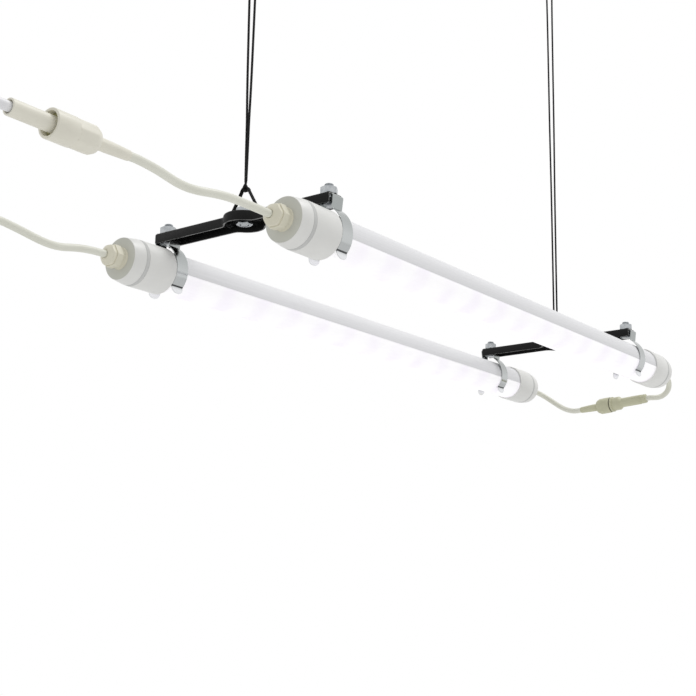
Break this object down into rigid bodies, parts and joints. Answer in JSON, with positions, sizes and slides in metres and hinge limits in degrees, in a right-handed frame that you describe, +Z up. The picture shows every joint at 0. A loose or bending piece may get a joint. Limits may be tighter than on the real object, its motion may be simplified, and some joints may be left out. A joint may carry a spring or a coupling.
{
  "type": "hanging shop light",
  "caption": "Hanging light: sealed LED tubes side by side in spring clips under black channel arms, hung level on doubled ropes from ceiling hooks, with plug-in leads",
  "frame": {"origin": "where the front ceiling hook's shank enters the ceiling, on the shank's axis", "axes": "+X along the tubes from the ends with the supply leads to the linked ends, +Y from tube B to tube A, +Z up"},
  "size_m": [1.0831, 0.2232, 0.6011],
  "materials": {
    "zinc_steel": "bright zinc plated",
    "spring_steel": "bright rolled spring strip",
    "black_coat": "black powder coat",
    "rope": "black braided cord",
    "aluminium": "extruded, matt clear anodised",
    "diffuser": "frosted opal extrusion",
    "board_white": "white solder mask",
    "led": "yellow phosphor",
    "board_green": "green solder mask",
    "cap_plastic": "moulded, satin",
    "seal_rubber": "moulded ring",
    "gland_plastic": "moulded nylon",
    "lead_jacket": "soft cable jacket",
    "connector_plastic": "moulded nylon",
    "white_jacket": "soft cable jacket"
  },
  "bodies": {
    "ceiling": {"hook_front": "zinc_steel", "hook_rear": "zinc_steel"},
    "rope_bends": {"rope_bends": "rope"},
    "rope_front": {"rope_front_a": "rope", "rope_front_b": "rope"},
    "rope_rear": {"rope_rear_a": "rope", "rope_rear_b": "rope"},
    "light": {"sling_front": "rope", "sling_rear": "rope", "sling_knots": "rope", "stopper_knots": "rope", "arm_front": "black_coat", "arm_rear": "black_coat", "hub_bolts": "zinc_steel", "hub_washers": "zinc_steel", "hub_nuts": "zinc_steel", "clip_front_a": "spring_steel", "clip_front_b": "spring_steel", "clip_rear_a": "spring_steel", "clip_rear_b": "spring_steel", "clip_bolts": "zinc_steel", "clip_washers": "zinc_steel", "clip_nuts": "zinc_steel", "lead_a": "lead_jacket", "lead_b": "lead_jacket", "link_lead_a": "lead_jacket", "link_lead_b": "lead_jacket", "supply_cable": "white_jacket", "socket_b": "connector_plastic", "plug_b": "connector_plastic", "socket_link": "connector_plastic", "plug_link": "connector_plastic", "socket_a": "connector_plastic", "dust_plug_a": "connector_plastic", "mains_plug": "white_jacket"},
    "tube_a": {"heat_sink_a": "aluminium", "diffuser_a": "diffuser", "led_board_a": "board_white", "led_chips_a": "led", "driver_a": "board_green", "cap_near_a": "cap_plastic", "cap_far_a": "cap_plastic", "seals_a": "seal_rubber", "glands_a": "gland_plastic", "gland_nuts_a": "gland_plastic"},
    "tube_b": {"heat_sink_b": "aluminium", "diffuser_b": "diffuser", "led_board_b": "board_white", "led_chips_b": "led", "driver_b": "board_green", "cap_near_b": "cap_plastic", "cap_far_b": "cap_plastic", "seals_b": "seal_rubber", "glands_b": "gland_plastic", "gland_nuts_b": "gland_plastic"},
    "nut_b": {"coupling_nut_b": "connector_plastic"},
    "nut_link": {"coupling_nut_link": "connector_plastic"},
    "nut_a": {"coupling_nut_a": "connector_plastic"}
  },
  "joints": [
    {"name": "side_swing", "type": "hinge", "parent": "ceiling", "child": "rope_bends", "pos_m": [0, 0, -0.04], "axis": [1, 0, 0], "range_deg": [-15, 15]},
    {"name": "swing", "type": "hinge", "parent": "rope_bends", "child": "rope_front", "pos_m": [0, 0, -0.04], "axis": [0, 1, 0], "range_deg": [-12, 12]},
    {"name": "front_level", "type": "hinge", "parent": "rope_front", "child": "light", "pos_m": [0, 0, -0.474], "axis": [0, 1, 0], "range_deg": [-12, 12]},
    {"name": "rear_level", "type": "hinge", "parent": "light", "child": "rope_rear", "pos_m": [0.55, 0, -0.474], "axis": [0, 1, 0], "range_deg": [-12, 12]},
    {"name": "tube_a_turn", "type": "hinge", "parent": "light", "child": "tube_a", "pos_m": [0.291, 0.091, -0.54], "axis": [1, 0, 0], "range_deg": [-30, 30]},
    {"name": "tube_b_turn", "type": "hinge", "parent": "light", "child": "tube_b", "pos_m": [0.291, -0.091, -0.54], "axis": [1, 0, 0], "range_deg": [-30, 30]},
    {"name": "coupling_turn_b", "type": "hinge", "parent": "light", "child": "nut_b", "pos_m": [-0.2585, -0.091, -0.54], "axis": [1, 0, 0], "continuous": true},
    {"name": "coupling_turn_link", "type": "hinge", "parent": "light", "child": "nut_link", "pos_m": [0.667, -0.00492, -0.5675], "axis": [0, -0.9976, 0.0698], "continuous": true},
    {"name": "coupling_turn_a", "type": "hinge", "parent": "light", "child": "nut_a", "pos_m": [-0.224, 0.091, -0.54], "axis": [1, 0, 0], "continuous": true}
  ],
  "couplings": [
    {"joint": "front_level", "follows": "swing", "ratio": -1},
    {"joint": "rear_level", "follows": "swing", "ratio": 1}
  ]
}
